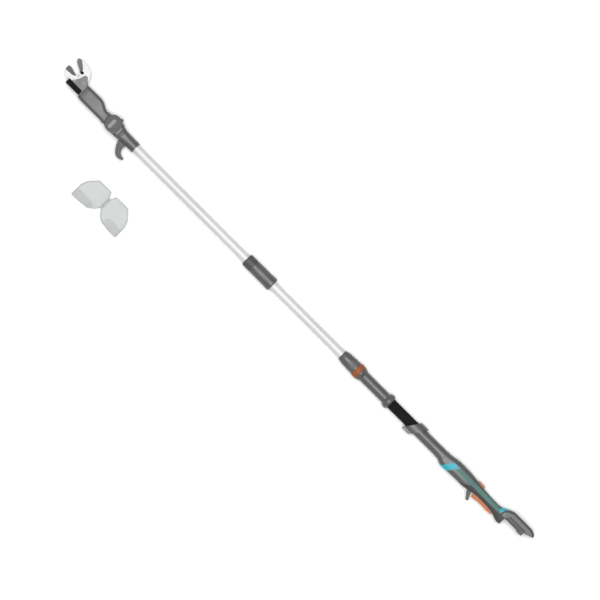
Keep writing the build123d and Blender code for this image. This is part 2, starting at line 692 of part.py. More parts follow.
# ---- Nose: two cheeks hold the fixed jaw, the blade and the lead screw --------------
CHEEK = [
    (938, -31), (966, -31), (970, -34), (987, -50.4), (990.5, -52), (996.8, -50), (1003.2, -28.8),
    (1016, -9.6), (1022, -4), (1022, 7.3), (938, 7.3),
]
CHEEK_SCREWS = [(952, -25), (1010, -14.5)]
CHEEKS = {"nose_cheek_left": (CHEEK_IN, CHEEK_OUT), "nose_cheek_right": (-CHEEK_OUT, -CHEEK_IN)}
for cheek_name, (low, high) in CHEEKS.items():
    with BuildPart() as cheek:
        add(plate(CHEEK, low, high, 1.5))
        chamfer(cheek.faces().sort_by(Axis.Z)[-1 if low > 0 else 0].edges(), 0.9)
        add(post(BLADE_PIVOT, -20, 20, PIVOT_BOLT_R), mode=Mode.SUBTRACT)
        for place in CHEEK_SCREWS:
            add(post(place, -20, 20, 2), mode=Mode.SUBTRACT)
    pieces[cheek_name] = cheek

with BuildPart() as nose_cover:
    add(plate([(969, -8.3), (969, 9.9), (1027, 9.9), (1027, -8.3)], -14.4, 14.4, 4))
    add(slab(960, 1024.6, -12, 7.4, -CHEEK_OUT, CHEEK_OUT), mode=Mode.SUBTRACT)
    fillet(nose_cover.faces().filter_by(Axis.Z).sort_by(Axis.Z)[-1].outer_wire().edges(), 1.2)
pieces["nose_cover"] = nose_cover

JAW_THICK, BLADE_LOW, BLADE_HIGH = 4.0, 0.2, 3.8
with BuildPart() as fixed_jaw:
    with BuildSketch(side(-JAW_THICK)):
        with BuildLine():
            Line((1058.6, -36.4), (1056, -37.6))
            Spline((1056, -37.6), (1043, -37.0), (1030, -32.8), (1019, -30.5), (1006, -34.5), (994, -38))
            Line((994, -38), (976, -34))
            Line((976, -34), (976, -22))
            Line((976, -22), (996, -17.6))
            Line((996, -17.6), (1002, -9.6))
            Line((1002, -9.6), (1028, -8.8))
            Spline((1028, -8.8), (1040, -5.2), (1050, -9.5), (1057.5, -21), (1058.6, -36.4))
        make_face()
        with Locations(BLADE_PIVOT):
            Circle(12)
    extrude(amount=JAW_THICK)
    add(post(BLADE_PIVOT, -20, 20, PIVOT_BOLT_R), mode=Mode.SUBTRACT)
    add(post(CHEEK_SCREWS[1], -20, 20, 2), mode=Mode.SUBTRACT)
pieces["fixed_jaw"] = fixed_jaw

# The blade is drawn open, as it rests.
TAIL_ANGLE = 90 - BLADE_SWING / 2
TAIL_END_R = 6.2
SLOT_HALF = CROSS_PIN_R + 0.35
tail_end = (
    BLADE_PIVOT[0] + (PIN_DROP + 0.4) * cos(radians(TAIL_ANGLE)),
    BLADE_PIVOT[1] + (PIN_DROP + 0.4) * sin(radians(TAIL_ANGLE)),
)
with BuildPart() as cutting_blade:
    with BuildSketch(side(BLADE_LOW)):
        with BuildLine():
            Line((1052, -75), (1050.6, -66))
            Spline((1050.6, -66), (1037, -56.5), (1024, -50), (1014, -42), (1007, -31), (999, -20))
            Line((999, -20), (976, -22))
            Line((976, -22), (978, -46))
            Spline(
                (978, -46), (984, -60), (994.6, -71.2), (1010, -76.4),
                (1029, -78), (1044, -77.4), (1052, -75),
            )
        make_face()
        with Locations(BLADE_PIVOT):
            Circle(13.5)
        with Locations(Location((*BLADE_PIVOT, 0), (0, 0, TAIL_ANGLE))):
            with Locations((PIN_DROP / 2 + 0.3, 0)):
                Rectangle(PIN_DROP, 2 * TAIL_END_R)
        with Locations(tail_end):
            Circle(TAIL_END_R)
        with Locations(Location((*BLADE_PIVOT, 0), (0, 0, TAIL_ANGLE))):
            with Locations((PIN_DROP + 0.45, 0)):
                SlotOverall(2 * SLOT_HALF + 2.2, 2 * SLOT_HALF, mode=Mode.SUBTRACT)
    extrude(amount=BLADE_HIGH - BLADE_LOW)
    add(post(BLADE_PIVOT, -20, 20, PIVOT_BOLT_R + FIT), mode=Mode.SUBTRACT)
pieces["cutting_blade"] = cutting_blade

with BuildPart() as pivot_bolt:
    add(post(BLADE_PIVOT, -15.5, CHEEK_OUT, PIVOT_BOLT_R))
    with BuildSketch(side(CHEEK_OUT)):
        with Locations(BLADE_PIVOT):
            Circle(9.4)
    extrude(amount=3.2)
    fillet(pivot_bolt.faces().sort_by(Axis.Z)[-1].edges(), 1.4)
    with BuildSketch(side(CHEEK_OUT + 3.2)):
        with Locations(BLADE_PIVOT):
            RegularPolygon(3.2, 6)
    extrude(amount=-2.2, mode=Mode.SUBTRACT)
pieces["pivot_bolt"] = pivot_bolt

with BuildPart() as pivot_nut:
    with BuildSketch(side(-15.5)):
        with Locations(BLADE_PIVOT):
            RegularPolygon(9, 6)
            Circle(PIVOT_BOLT_R, mode=Mode.SUBTRACT)
    extrude(amount=15.5 - CHEEK_OUT)
pieces["pivot_nut"] = pivot_nut

# Washers at the blade's pivot and spacers at the jaw's screw.
with BuildPart() as nose_spacers:
    for low, high in ((BLADE_HIGH + 0.2, CHEEK_IN), (-CHEEK_IN, -JAW_THICK)):
        with BuildSketch(side(low)):
            with Locations(BLADE_PIVOT):
                Circle(9.5)
                Circle(PIVOT_BOLT_R, mode=Mode.SUBTRACT)
        extrude(amount=high - low)
    for low, high in ((0.2, CHEEK_IN), (-CHEEK_IN, -JAW_THICK)):
        with BuildSketch(side(low)):
            with Locations(CHEEK_SCREWS[1]):
                Circle(3.0)
                Circle(2.0, mode=Mode.SUBTRACT)
        extrude(amount=high - low)
pieces["nose_spacers"] = nose_spacers

with BuildPart() as cheek_screws:
    for place in CHEEK_SCREWS:
        add(screw(place, -CHEEK_OUT - 2.4, CHEEK_OUT, 2.0, 3.8, 2.4))
pieces["cheek_screws"] = cheek_screws

# ---- Drive: motor, gearbox, lead screw and nut --------------------------------------
with BuildPart() as motor:
    add(tube(868, 909, 13.8, 0, SCREW_Y))
    add(tube(864, 868, 5, 0, SCREW_Y))
pieces["motor"] = motor

with BuildPart() as gearbox:
    add(tube(909.2, 937, MOTOR_R, 0, SCREW_Y))
    add(tube(930, 938, CROSS_PIN_R + FIT, 0, SCREW_Y), mode=Mode.SUBTRACT)
pieces["gearbox"] = gearbox

with BuildPart() as bearing_carrier:
    add(slab(940, 948, -8, 7.2, -6.9, 6.9))
    add(tube(939, 949, CROSS_PIN_R + FIT, 0, SCREW_Y), mode=Mode.SUBTRACT)
pieces["bearing_carrier"] = bearing_carrier

with BuildPart() as nose_bush:
    add(slab(1006, 1012, -6, 7.2, -6.9, 6.9))
    add(tube(1005, 1013, CROSS_PIN_R + FIT, 0, SCREW_Y), mode=Mode.SUBTRACT)
pieces["nose_bush"] = nose_bush

with BuildPart() as lead_screw:
    add(tube(931, 1014, CROSS_PIN_R, 0, SCREW_Y))
    add(tube(948.4, 952, 5.2, 0, SCREW_Y))
pieces["lead_screw"] = lead_screw

with BuildPart() as drive_nut:
    add(tube(PIN_REST_X - 8, PIN_REST_X + 8, 6.4, 0, SCREW_Y))
    for low, high in ((-6.4, -0.2), (4.1, 6.4)):
        add(slab(PIN_REST_X - 5, PIN_REST_X + 5, -14, SCREW_Y, low, high))
    add(slab(PIN_REST_X - 9, PIN_REST_X + 9, -16, -3.3, -0.2, 4.1), mode=Mode.SUBTRACT)
    add(slab(PIN_REST_X - 9, PIN_REST_X + 9, -16, -13.4, -6.4, -0.2), mode=Mode.SUBTRACT)
    add(tube(PIN_REST_X - 9, PIN_REST_X + 9, CROSS_PIN_R + FIT, 0, SCREW_Y), mode=Mode.SUBTRACT)
    add(post((PIN_REST_X, CROSS_PIN_Y), -10, 10, CROSS_PIN_R), mode=Mode.SUBTRACT)
pieces["drive_nut"] = drive_nut

with BuildPart() as cross_pin:
    add(post((PIN_REST_X, CROSS_PIN_Y), -6.4, 6.4, CROSS_PIN_R))
pieces["cross_pin"] = cross_pin

# ---- Leads held inside the pole -----------------------------------------------------
with BuildPart() as pole_lead:
    add(tube(62, 796, 3, 0))
pieces["pole_lead"] = pole_lead

# Outer shape of the coiled stretch that pays out as the pole is drawn.
with BuildPart() as coiled_lead:
    add(tube(-330, 62, 10, 0))
pieces["coiled_lead"] = coiled_lead

# ---- Blade guard: two trays on a hinge, opened flat ---------------------------------
# One half's outline, counted from the hinge line; the other half is its mirror image.
GUARD_OUTLINE = [
    (1.6, 174), (12, 154), (64, 154), (90, 182), (94, 190), (99, 206), (100, 251), (66, 250),
    (32, 246), (14, 233), (1.6, 216),
]
GUARD_FLOOR_Z = -AXIS_Z
GUARD_HINGE_R, GUARD_PIN_R = 2.0, 1.0
GUARD_HINGE_Z = GUARD_FLOOR_Z + GUARD_HEIGHT + 0.3
BARRELS_A = [(178, 186), (204, 212)]
BARRELS_B = [(186.5, 203.5)]
GUARD_CORNERS = [2, 8, 8, 6, 6, 5, 5, 8, 8, 8, 2]
GUARD_INNER = [
    (3.2, 174.8), (12.8, 155.6), (63.2, 155.6), (88.5, 182.8), (92.4, 190.8), (97.4, 206.4),
    (98.4, 249.4), (66.3, 248.4), (32.7, 244.4), (15.4, 232.0), (3.2, 215.2),
]


def hinge_bar(low, high, radius):
    """Round bar on the guard's hinge line."""
    with BuildPart() as bar:
        with BuildSketch(Plane((GUARD_HINGE_X, AXIS_Y + low, AXIS_Z + GUARD_HINGE_Z), z_dir=(0, 1, 0))):
            Circle(radius)
        extrude(amount=high - low)
    return bar.part


def guard_tray(sign):
    """One half, floor down and open upwards."""
    outline = [(GUARD_HINGE_X + sign * x, y) for x, y in GUARD_OUTLINE]
    inner = [(GUARD_HINGE_X + sign * x, y) for x, y in GUARD_INNER]
    with BuildPart() as tray:
        with BuildSketch(side(GUARD_FLOOR_Z)):
            with BuildLine():
                FilletPolyline(*outline, radius=GUARD_CORNERS, close=True)
            make_face()
        extrude(amount=GUARD_HEIGHT)
        with BuildSketch(side(GUARD_FLOOR_Z + GUARD_WALL)):
            with BuildLine():
                FilletPolyline(*inner, radius=GUARD_CORNERS, close=True)
            make_face()
        extrude(amount=GUARD_HEIGHT, mode=Mode.SUBTRACT)
    return tray.part


for half_name, sign, spans, other_spans in (
    ("guard_half_a", 1, BARRELS_A, BARRELS_B), ("guard_half_b", -1, BARRELS_B, BARRELS_A)
):
    with BuildPart() as half:
        add(guard_tray(sign))
        for low, high in spans:
            reach = sorted((GUARD_HINGE_X, GUARD_HINGE_X + sign * 3.2))
            add(slab(reach[0], reach[1], low, high, GUARD_HINGE_Z - 5.0, GUARD_HINGE_Z))
            add(hinge_bar(low, high, GUARD_HINGE_R))
        for low, high in other_spans:
            add(hinge_bar(low - 0.4, high + 0.4, GUARD_HINGE_R + 0.35), mode=Mode.SUBTRACT)
        add(hinge_bar(170, 220, GUARD_PIN_R + FIT), mode=Mode.SUBTRACT)
    pieces[half_name] = half

with BuildPart() as guard_pin:
    add(hinge_bar(177, 213, GUARD_PIN_R))
pieces["guard_pin"] = guard_pin

# ---- Write every piece --------------------------------------------------------------
os.makedirs("parts", exist_ok=True)
for name, piece in pieces.items():
    piece.part.label = name
    export_step(piece.part, f"parts/{name}.step")
print(len(pieces), "pieces")
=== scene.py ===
import json
import math
from contextlib import contextmanager

import bmesh
import bpy
from mathutils import Matrix, Vector


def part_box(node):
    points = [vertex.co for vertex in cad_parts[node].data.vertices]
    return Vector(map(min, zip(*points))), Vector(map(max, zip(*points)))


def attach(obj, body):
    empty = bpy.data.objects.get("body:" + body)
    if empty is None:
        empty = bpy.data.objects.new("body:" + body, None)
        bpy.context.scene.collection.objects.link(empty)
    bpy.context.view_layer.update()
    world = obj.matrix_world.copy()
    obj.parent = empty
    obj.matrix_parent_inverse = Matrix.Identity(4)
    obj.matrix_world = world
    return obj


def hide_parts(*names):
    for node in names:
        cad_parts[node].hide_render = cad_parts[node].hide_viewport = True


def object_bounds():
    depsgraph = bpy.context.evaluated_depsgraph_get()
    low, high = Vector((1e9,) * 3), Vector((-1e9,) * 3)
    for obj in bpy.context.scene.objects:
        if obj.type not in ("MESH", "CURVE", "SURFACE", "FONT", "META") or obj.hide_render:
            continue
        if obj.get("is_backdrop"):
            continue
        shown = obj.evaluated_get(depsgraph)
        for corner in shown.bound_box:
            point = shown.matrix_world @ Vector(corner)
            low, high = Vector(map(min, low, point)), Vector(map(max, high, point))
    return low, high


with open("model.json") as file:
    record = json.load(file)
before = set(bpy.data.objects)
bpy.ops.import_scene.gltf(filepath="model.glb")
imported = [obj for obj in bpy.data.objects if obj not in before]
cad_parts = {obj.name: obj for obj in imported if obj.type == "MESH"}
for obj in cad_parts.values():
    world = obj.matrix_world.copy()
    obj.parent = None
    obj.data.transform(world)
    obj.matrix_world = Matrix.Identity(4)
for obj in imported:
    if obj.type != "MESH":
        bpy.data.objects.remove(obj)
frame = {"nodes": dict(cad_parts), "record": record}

# Telescoping battery pole pruner. +X runs to the cutting head, +Y to the underside, +Z up.
CAD_LOW, CAD_HIGH = (list(corner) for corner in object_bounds())
MM = 0.001
TUBE_LOW, TUBE_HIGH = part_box("lower_tube")
AXIS_Y = (TUBE_LOW.y + TUBE_HIGH.y) / 2
AXIS_Z = (TUBE_LOW.z + TUBE_HIGH.z) / 2
BOTH_SIDES = (("left", 1), ("right", -1))


def place(x, y, z=0.0):
    """A point from the pole's axis, in millimetres, as metres in the row frame."""
    return Vector((x * MM, AXIS_Y + y * MM, AXIS_Z + z * MM))


# ---- Materials ----------------------------------------------------------------------
ROUGH_LEAST = 0.05
ROUGH_SPREAD = 0.08         # how far the roughness wanders either way
COAT_ROUGHNESS = 0.18
REFRACTION = 1.5
CLOUD_DETAIL, GRAIN_DETAIL = 5.0, 2.0
CLOUD_LOW, CLOUD_HIGH = 0.3, 0.7
ZONE_EDGE = 0.0003          # metres over which one zone's colour gives way to the next
BEVEL_SAMPLES = 4
WORN_FROM, WORN_TO = 0.995, 0.90    # agreement of the rounded and the true normal at an edge
WORN_COLOUR = 0.9
PATCH_SCALE, PATCH_DETAIL = 220.0, 3.0
SEAM_HALF, SEAM_EDGE, SEAM_DEPTH, SEAM_SHADE = 0.0001, 0.00035, 0.0003, 0.25


def add_node(tree, kind, wires=None, values=None, **settings):
    """A new shader node with its settings, the constants on its sockets and the wires into them."""
    made = tree.nodes.new("ShaderNode" + kind)
    for name, setting in settings.items():
        setattr(made, name, setting)
    for socket, value in (values or {}).items():
        made.inputs[socket].default_value = value
    for socket, output in (wires or {}).items():
        tree.links.new(output, made.inputs[socket])
    return made


def between(tree, value, low, high):
    """0 where the value is at low, 1 where it is at high."""
    made = add_node(tree, "MapRange", {"Value": value}, {"From Min": low, "From Max": high})
    return made.outputs["Result"]


def product(tree, first, second):
    """One value times another."""
    return add_node(tree, "Math", {0: first, 1: second}, operation="MULTIPLY").outputs[0]


def agreement(tree, first, second):
    """Dot product of two directions."""
    return add_node(tree, "VectorMath", {0: first, 1: second}, operation="DOT_PRODUCT").outputs["Value"]


def noise(tree, spot, scale, detail):
    """Noise over the object."""
    return add_node(tree, "TexNoise", {"Vector": spot}, {"Scale": scale, "Detail": detail}).outputs["Fac"]


def mixed(tree, wires, values):
    """A mix of two colours."""
    return add_node(tree, "Mix", wires, values, data_type="RGBA").outputs["Result"]


def relief(tree, height, normal, depth):
    """The normal with a relief of some depth laid over it."""
    return add_node(tree, "Bump", {"Height": height, "Normal": normal}, {"Distance": depth}).outputs["Normal"]


def zone_mask(tree, spot, limits):
    """1 where the spot is past every limit along its direction."""
    inside = None
    for direction, start in limits:
        along = add_node(tree, "VectorMath", {0: spot}, {1: direction}, operation="DOT_PRODUCT")
        step = between(tree, along.outputs["Value"], start, start + ZONE_EDGE)
        inside = step if inside is None else product(tree, inside, step)
    return inside


def finish(name, colour, rough=0.5, metallic=0.0, tint=0.08, cloud=35.0, grain=1400.0, grain_depth=0.00003,
           stretch=(1, 1, 1), edge_radius=0.0006, edge_tint=0.25, seam_z=None, alpha=1.0, coat=0.0, shine=0.5,
           anisotropic=0.0, bands=None, band_depth=0.0, zones=()):
    """One procedural surface: colour clouds, uneven gloss, a fine grain, softened and lightly worn edges."""
    material = bpy.data.materials.new(name)
    material.use_nodes = True
    tree = material.node_tree
    shader = tree.nodes["Principled BSDF"]
    shader.inputs["Metallic"].default_value = metallic
    shader.inputs["IOR"].default_value = REFRACTION
    shader.inputs["Specular IOR Level"].default_value = shine
    shader.inputs["Coat Weight"].default_value = coat
    shader.inputs["Coat Roughness"].default_value = COAT_ROUGHNESS
    shader.inputs["Anisotropic"].default_value = anisotropic
    shader.inputs["Alpha"].default_value = alpha
    spot = add_node(tree, "TexCoord").outputs["Object"]
    stretched = add_node(tree, "Mapping", {"Vector": spot}, {"Scale": stretch}).outputs["Vector"]

    # Cloudy colour and gloss.
    clouds = noise(tree, stretched, cloud, CLOUD_DETAIL)
    ramp = add_node(tree, "ValToRGB", {"Fac": clouds})
    dark_stop, light_stop = ramp.color_ramp.elements
    dark_stop.position, light_stop.position = CLOUD_LOW, CLOUD_HIGH
    dark_stop.color = (*(c * (1 - tint) for c in colour), 1)
    light_stop.color = (*(min(1.0, c * (1 + tint)) for c in colour), 1)
    surface = ramp.outputs["Color"]
    dullness = add_node(tree, "MapRange", {"Value": clouds}, {
        "To Min": max(ROUGH_LEAST, rough - ROUGH_SPREAD),
        "To Max": min(1.0, rough + ROUGH_SPREAD),
    }).outputs["Result"]

    # Zones of a second colour and gloss.
    for second_colour, second_rough, limits in zones:
        inside = zone_mask(tree, spot, limits)
        surface = mixed(tree, {"Factor": inside, "A": surface}, {"B": (*second_colour, 1)})
        dull = add_node(tree, "Mix", {"Factor": inside, "A": dullness}, {"B": second_rough})
        dullness = dull.outputs["Result"]

    # Softened edges, worn in patches.
    bevel = add_node(tree, "Bevel", values={"Radius": edge_radius}, samples=BEVEL_SAMPLES)
    soft_edge = bevel.outputs["Normal"]
    true_normal = add_node(tree, "NewGeometry").outputs["Normal"]
    worn = between(tree, agreement(tree, soft_edge, true_normal), WORN_FROM, WORN_TO)
    amount = product(tree, worn, noise(tree, spot, PATCH_SCALE, PATCH_DETAIL))
    worn_colour = (*(min(1.0, c + edge_tint * (WORN_COLOUR - c)) for c in colour), 1)
    surface = mixed(tree, {"Factor": amount, "A": surface}, {"B": worn_colour})

    # Fine grain.
    normal = relief(tree, noise(tree, stretched, grain, GRAIN_DETAIL), soft_edge, grain_depth)

    # The line where two half shells meet.
    if seam_z is not None:
        level = add_node(tree, "SeparateXYZ", {"Vector": spot}).outputs["Z"]
        offset = add_node(tree, "Math", {0: level}, {1: seam_z}, operation="SUBTRACT").outputs[0]
        distance = add_node(tree, "Math", {0: offset}, operation="ABSOLUTE").outputs[0]
        seam = between(tree, distance, SEAM_HALF, SEAM_EDGE)
        surface = mixed(tree, {"Factor": seam, "B": surface}, {"A": (*(c * SEAM_SHADE for c in colour), 1)})
        normal = relief(tree, seam, normal, SEAM_DEPTH)

    # Bands along X.
    if bands is not None:
        wave = add_node(tree, "TexWave", {"Vector": spot}, {"Scale": bands}, wave_type="BANDS",
                        bands_direction="X")
        normal = relief(tree, wave.outputs["Fac"], normal, band_depth)

    tree.links.new(dullness, shader.inputs["Roughness"])
    tree.links.new(surface, shader.inputs["Base Color"])
    tree.links.new(normal, shader.inputs["Normal"])
    return material


DRAWN = (0.08, 1, 1)        # stretch of a surface drawn along X
CASING, DARK, FOOT_PAINTED_SHADE = (0.066, 0.068, 0.068), (0.030, 0.031, 0.031), (0.058, 0.060, 0.060)
# Zones, each past every limit (direction, distance in metres along it): the dark lower half of the trigger
# grip, the battery foot, darker as painted shade on its flat sides, and the dark front of the knuckle's fork.
GRIP_LEAN = 1.667
DARK_GRIP = [
    ((1, 0, 0), -0.957),
    ((-1, GRIP_LEAN, 0), 0.8103 + GRIP_LEAN * AXIS_Y),
    ((0, 1, 0), AXIS_Y + 0.0030),
]
FOOT_SHADE_ZONE = [((-1, 0, 0), 0.9456)]
FORK_ZONE = [((1, 0, 0), 0.795)]
GROUND_FINISH = {"metallic": 0.35, "tint": 0.12, "cloud": 260.0, "grain": 1800.0, "grain_depth": 0.00004,
                 "stretch": (1, 0.12, 1), "edge_radius": 0.0002}
LOOKS = {
    "casing": finish("casing_grey", CASING, rough=0.48, tint=0.06, seam_z=AXIS_Z, shine=0.8),
    "plain_casing": finish("casing_grey_plain", CASING, rough=0.46, tint=0.06, shine=0.8),
    "handle_casing": finish("casing_grey_two_tone_painted_foot_shade", CASING, rough=0.46, tint=0.06, seam_z=AXIS_Z, shine=0.8,
                            zones=[(FOOT_PAINTED_SHADE, 0.52, FOOT_SHADE_ZONE), (DARK, 0.72, DARK_GRIP)]),
    "knuckle_casing": finish("casing_grey_dark_fork", CASING, rough=0.46, tint=0.06, shine=0.8,
                             zones=[(DARK, 0.55, FORK_ZONE)]),
    "casing_dark": finish("casing_dark_grey", (0.050, 0.052, 0.052), rough=0.56, tint=0.07, shine=0.6),
    "soft_black": finish("soft_black_rubber", (0.005, 0.005, 0.0055), rough=0.75, tint=0.15, grain=2200.0,
                         grain_depth=0.00006, edge_tint=0.04, shine=0.15),
    "petrol_soft": finish("petrol_soft_inlay", (0.075, 0.19, 0.17), rough=0.62, grain=2400.0,
                          grain_depth=0.00005, edge_tint=0.1, shine=0.3),
    "bright_trim": finish("turquoise_trim", (0.035, 0.36, 0.46), tint=0.05, edge_tint=0.12, shine=0.35),
    "orange": finish("orange_moulding", (0.46, 0.125, 0.035), tint=0.05, edge_tint=0.15, shine=0.4),
    # A darker copy of the orange for the clamp ring and its bars: painted shade.
    "ring_orange": finish("orange_ring_painted_shade", (0.29, 0.082, 0.022), rough=0.55, tint=0.09, edge_tint=0.12,
                          shine=0.35),
    "tube_silver": finish("drawn_aluminium", (0.67, 0.675, 0.68), rough=0.62, metallic=0.35, tint=0.03,
                          cloud=60.0, grain=900.0, grain_depth=0.00002, stretch=DRAWN, edge_tint=0.1,
                          anisotropic=0.3, shine=0.35),
    "tube_dark": finish("dark_coated_tube", (0.080, 0.082, 0.084), rough=0.46, metallic=0.2, tint=0.05,
                        grain=1800.0, shine=0.8),
    "blade_steel": finish("polished_steel", (0.40, 0.405, 0.41), rough=0.48, metallic=0.5, tint=0.05,
                          cloud=90.0, grain=1500.0, grain_depth=0.00002, stretch=(1, 0.1, 1),
                          edge_radius=0.0002),
    # Steel of the ground faces: the grind's satin finish, much darker than the flats as painted shade on the
    # sloped faces.
    "ground_steel_and_painted_shade": finish("ground_steel_and_painted_shade", (0.14, 0.142, 0.144), rough=0.52, **GROUND_FINISH),
    # A still darker copy of the ground steel for the fixed jaw's bevel: painted shade.
    "fixed_jaw_bevel_painted_shade": finish("fixed_jaw_bevel_painted_shade", (0.08, 0.082, 0.084), rough=0.54, **GROUND_FINISH),
    "fasteners": finish("zinc_plated", (0.24, 0.245, 0.25), rough=0.48, metallic=1.0, cloud=200.0,
                        edge_radius=0.0003),
    "cap_grey": finish("light_grey_moulding", (0.20, 0.202, 0.20), tint=0.05),
    "motor_can": finish("motor_can_steel", (0.48, 0.49, 0.50), rough=0.35, metallic=1.0, tint=0.06,
                        stretch=DRAWN),
    "board": finish("board_green", (0.02, 0.12, 0.05), rough=0.3, tint=0.2, cloud=300.0, coat=0.3,
                    edge_radius=0.0002),
    "contact": finish("contact_brass", (0.78, 0.58, 0.26), rough=0.25, metallic=1.0, cloud=300.0,
                      edge_radius=0.0002),
    "cable": finish("cable_jacket", (0.02, 0.02, 0.022), rough=0.55, tint=0.15, bands=220.0,
                    band_depth=0.0004),
    "guard_clear": finish("frosted_guard", (0.66, 0.68, 0.675), tint=0.03, cloud=25.0, grain=700.0,
                          grain_depth=0.00002, alpha=0.66, edge_radius=0.0008, edge_tint=0.3, shine=0.3),
    "guard_flap": finish("frosted_guard_flap", (0.58, 0.597, 0.592), rough=0.55, tint=0.04, cloud=25.0,
                         grain=700.0, grain_depth=0.00002, alpha=0.7, shine=0.3),
}
# Nodes that don't take the look named after their slot. The plain casings are one part each, with no seam.
# The branch hook's darker grey is painted shade on its flat face.
OWN_LOOK = {"branch_hook": "casing_dark", "clamp_ring": "ring_orange"}
for plain in ("front_sleeve", "strap_collar", "clamp_nut", "coupling_sleeve", "tilt_adapter",
              "nose_cheek_left", "nose_cheek_right"):
    OWN_LOOK[plain] = "plain_casing"


def dress(thing, look):
    """Gives the object one finish all over."""
    thing.data.materials.clear()
    thing.data.materials.append(LOOKS[look])


bodies = frame["record"]["behaviour"]["bodies"]
node_body = {name: body for body, members in bodies.items() for name in members}
for row in frame["record"]["subparts"]:
    dress(frame["nodes"][row["node"]], OWN_LOOK.get(row["node"], row["material_slot"]))


# ---- Piece makers -------------------------------------------------------------------
WELD, SLIVER = 1e-6, 2e-6   # metres under which two corners are one, and an edge is none


@contextmanager
def edited(mesh):
    """The mesh opened for editing, and written back afterwards."""
    shape = bmesh.new()
    shape.from_mesh(mesh)
    yield shape
    shape.to_mesh(mesh)
    shape.free()


def shade(thing, angle=35.0):
    """Smooth faces, kept sharp where they meet at more than an angle."""
    limit = math.radians(angle)
    with edited(thing.data) as shape:
        for face in shape.faces:
            face.smooth = True
        for edge in shape.edges:
            edge.smooth = len(edge.link_faces) == 2 and edge.calc_face_angle(0.0) < limit


def linked(name, data):
    """A new object in the scene, with a mesh, lamp or lens as its data."""
    thing = bpy.data.objects.new(name, data)
    bpy.context.scene.collection.objects.link(thing)
    return thing


def closed_mesh(name, vertices, faces):
    """A new mesh whose faces all look outwards."""
    mesh = bpy.data.meshes.new(name)
    mesh.from_pydata([tuple(v) for v in vertices], [], faces)
    mesh.validate()
    with edited(mesh) as shape:
        bmesh.ops.recalc_face_normals(shape, faces=shape.faces)
    return mesh


def piece(name, vertices, faces, look, body, slot, replaced=()):
    """A new mesh piece that rides on a body and takes the finish of its look."""
    thing = linked(name, closed_mesh(name, vertices, faces))
    shade(thing)
    dress(thing, look)
    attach(thing, body)
    if replaced:
        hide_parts(*replaced)


def welded_copy(node, name):
    """A CAD node's shape as a new object, with its corners joined and none of its own shading."""
    thing = linked(name, frame["nodes"][node].data.copy())
    for label in ("custom_normal", "sharp_edge", "sharp_face"):
        if label in thing.data.attributes:
            thing.data.attributes.remove(thing.data.attributes[label])
    with edited(thing.data) as shape:
        bmesh.ops.remove_doubles(shape, verts=shape.verts, dist=WELD)
    return thing


def stand_in(thing, node):
    """Puts the object in the place of a CAD node, on the same body."""
    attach(thing, node_body[node])
    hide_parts(node)


def lathe(profile, turns=64):
    """Closed ring of (x, radius) corners turned about the pole's axis."""
    vertices, faces = [], []
    count = len(profile)
    for i in range(turns):
        angle = 2 * math.pi * i / turns
        for x, radius in profile:
            vertices.append(place(x, radius * math.cos(angle), radius * math.sin(angle)))
    for i in range(turns):
        for k in range(count):
            a, b = i * count + k, i * count + (k + 1) % count
            c, d = ((i + 1) % turns) * count + (k + 1) % count, ((i + 1) % turns) * count + k
            faces.append((a, b, c, d))
    return vertices, faces


def skinned(rows):
    """Closed skin over rows of section points, with a flat cap at each end."""
    count = len(rows[0])
    vertices = [point for row in rows for point in row]
    faces = []
    for i in range(len(rows) - 1):
        for k in range(count):
            a, b = i * count + k, i * count + (k + 1) % count
            faces.append((a, b, b + count, a + count))
    faces.append(tuple(range(count)))
    faces.append(tuple(range((len(rows) - 1) * count, len(rows) * count)))
    return vertices, faces


def joined(parts):
    """Several (vertices, faces) pairs as one."""
    vertices, faces = [], []
    for more_vertices, more_faces in parts:
        base = len(vertices)
        vertices += more_vertices
        faces += [tuple(base + index for index in face) for face in more_faces]
    return vertices, faces


def turned_about_z(middle, profile, turns=48):
    """Solid of (radius, height) corners about an upright axis; the profile starts and ends on the axis."""
    vertices, faces = [], []
    rings = profile[1:-1]
    for i in range(turns):
        angle = 2 * math.pi * i / turns
        across, along = math.cos(angle), math.sin(angle)
        for radius, height in rings:
            vertices.append(place(middle[0] + radius * across, middle[1] + radius * along, height))
    count = len(rings)
    first, last = len(vertices), len(vertices) + 1
    vertices += [place(*middle, profile[0][1]), place(*middle, profile[-1][1])]
    for i in range(turns):
        j = (i + 1) % turns
        for k in range(count - 1):
            faces.append((i * count + k, j * count + k, j * count + k + 1, i * count + k + 1))
        faces.append((first, j * count, i * count))
        faces.append((last, i * count + count - 1, j * count + count - 1))
    return vertices, faces


def swept(path, radius, ring=8):
    """Round wire along a list of points."""
    last = len(path) - 1
    rows = []
    side_way = None
    for i, point in enumerate(path):
        ahead = path[min(last, i + 1)] - path[max(0, i - 1)]
        ahead.normalize()
        if side_way is None:
            side_way = ahead.orthogonal().normalized()
        side_way = (side_way - ahead * side_way.dot(ahead)).normalized()
        other = ahead.cross(side_way)
        row = []
        for k in range(ring):
            angle = 2 * math.pi * k / ring
            row.append(point + radius * (math.cos(angle) * side_way + math.sin(angle) * other))
        rows.append(row)
    return skinned(rows)


# ---- Lofted mouldings: the same shapes with flowing surfaces -------------------------
FLOWING_ANGLE = 24.0


def flowing(node, look):
    """A copy of a CAD node whose gentle creases are shaded as one surface."""
    thing = welded_copy(node, node + "_moulding")
    shade(thing, FLOWING_ANGLE)
    dress(thing, look)
    stand_in(thing, node)


for label in ("left", "right"):
    flowing(f"handle_shell_{label}", "handle_casing")
    flowing(f"head_shell_{label}", "casing")
flowing("tilt_adapter", "knuckle_casing")

